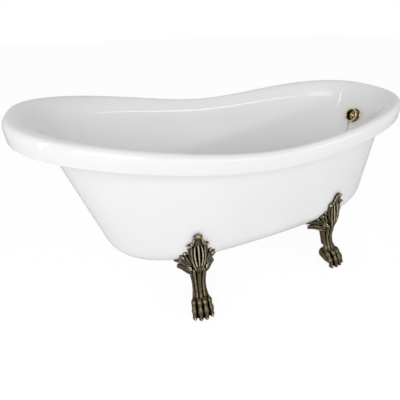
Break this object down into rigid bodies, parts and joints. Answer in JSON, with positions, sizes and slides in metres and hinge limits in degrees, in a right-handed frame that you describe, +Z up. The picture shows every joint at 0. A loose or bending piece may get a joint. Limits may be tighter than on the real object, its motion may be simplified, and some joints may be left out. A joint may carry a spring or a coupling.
{
  "type": "bathtub",
  "caption": "Freestanding double-ended slipper bath with a rolled rim on cast claw feet, with a plug and chain waste, an overflow and a trap.",
  "frame": {"origin": "on the floor under the middle of the bath", "axes": "+X along the bath towards the drain and overflow end, -Y its front, +Z up"},
  "size_m": [1.6, 0.7838, 0.8],
  "materials": {
    "white_acrylic": "glossy sanitary acrylic",
    "antique_bronze": "cast, antique bronze plating with dark hollows",
    "bronze_trim": "antique bronze plating",
    "plug_rubber": "matte rubber",
    "seal_rubber": "matte rubber",
    "plumbing_plastic": "moulded polypropylene",
    "pad_plastic": "moulded nylon",
    "zinc_steel": "bright zinc plating",
    "wood_board": "raw plywood"
  },
  "bodies": {
    "root": {"inner_tub": "white_acrylic", "outer_shell": "white_acrylic", "rim_core": "wood_board", "base_board": "wood_board", "cross_rail_left": "zinc_steel", "cross_rail_right": "zinc_steel", "rail_screws": "zinc_steel", "foot_front_left": "antique_bronze", "foot_front_right": "antique_bronze", "foot_back_left": "antique_bronze", "foot_back_right": "antique_bronze", "foot_bolts": "zinc_steel", "foot_washers": "zinc_steel", "foot_nuts": "zinc_steel", "waste_flange": "bronze_trim", "flange_gasket": "seal_rubber", "lower_gasket": "seal_rubber", "waste_body": "plumbing_plastic", "port_nut": "plumbing_plastic", "trap_washer": "seal_rubber", "trap_nut": "plumbing_plastic", "trap_body": "plumbing_plastic", "outlet_nut": "plumbing_plastic", "overflow_face": "bronze_trim", "overflow_screw": "bronze_trim", "overflow_seal": "seal_rubber", "overflow_elbow": "plumbing_plastic", "overflow_pipe": "plumbing_plastic", "chain_clip": "bronze_trim", "plug_chain": "bronze_trim"},
    "plug": {"drain_plug": "plug_rubber", "plug_stem": "bronze_trim"},
    "pad_front_left": {"leveller_pad_front_left": "pad_plastic"},
    "stud_front_left": {"leveller_stud_front_left": "zinc_steel"},
    "pad_front_right": {"leveller_pad_front_right": "pad_plastic"},
    "stud_front_right": {"leveller_stud_front_right": "zinc_steel"},
    "pad_back_left": {"leveller_pad_back_left": "pad_plastic"},
    "stud_back_left": {"leveller_stud_back_left": "zinc_steel"},
    "pad_back_right": {"leveller_pad_back_right": "pad_plastic"},
    "stud_back_right": {"leveller_stud_back_right": "zinc_steel"}
  },
  "joints": [
    {"name": "plug_lift", "type": "slide", "parent": "root", "child": "plug", "axis": [0, 0, 1], "range_m": [0, 0.06], "deforming": ["plug_chain"]},
    {"name": "leveller_front_left", "type": "slide", "parent": "root", "child": "pad_front_left", "axis": [0, 0, 1], "range_m": [-0.012, 0]},
    {"name": "stud_turn_front_left", "type": "hinge", "parent": "pad_front_left", "child": "stud_front_left", "pos_m": [-0.28314, -0.3374, 0.02], "axis": [0, 0, 1], "range_deg": [-3456, 0]},
    {"name": "leveller_front_right", "type": "slide", "parent": "root", "child": "pad_front_right", "axis": [0, 0, 1], "range_m": [-0.012, 0]},
    {"name": "stud_turn_front_right", "type": "hinge", "parent": "pad_front_right", "child": "stud_front_right", "pos_m": [0.40314, -0.32965, 0.02], "axis": [0, 0, 1], "range_deg": [-3456, 0]},
    {"name": "leveller_back_left", "type": "slide", "parent": "root", "child": "pad_back_left", "axis": [0, 0, 1], "range_m": [-0.012, 0]},
    {"name": "stud_turn_back_left", "type": "hinge", "parent": "pad_back_left", "child": "stud_back_left", "pos_m": [-0.28314, 0.3374, 0.02], "axis": [0, 0, 1], "range_deg": [-3456, 0]},
    {"name": "leveller_back_right", "type": "slide", "parent": "root", "child": "pad_back_right", "axis": [0, 0, 1], "range_m": [-0.012, 0]},
    {"name": "stud_turn_back_right", "type": "hinge", "parent": "pad_back_right", "child": "stud_back_right", "pos_m": [0.40314, 0.32965, 0.02], "axis": [0, 0, 1], "range_deg": [-3456, 0]}
  ],
  "couplings": [
    {"joint": "stud_turn_front_left", "follows": "leveller_front_left", "rad_per_m": 5026.5},
    {"joint": "stud_turn_front_right", "follows": "leveller_front_right", "rad_per_m": 5026.5},
    {"joint": "stud_turn_back_left", "follows": "leveller_back_left", "rad_per_m": 5026.5},
    {"joint": "stud_turn_back_right", "follows": "leveller_back_right", "rad_per_m": 5026.5}
  ]
}
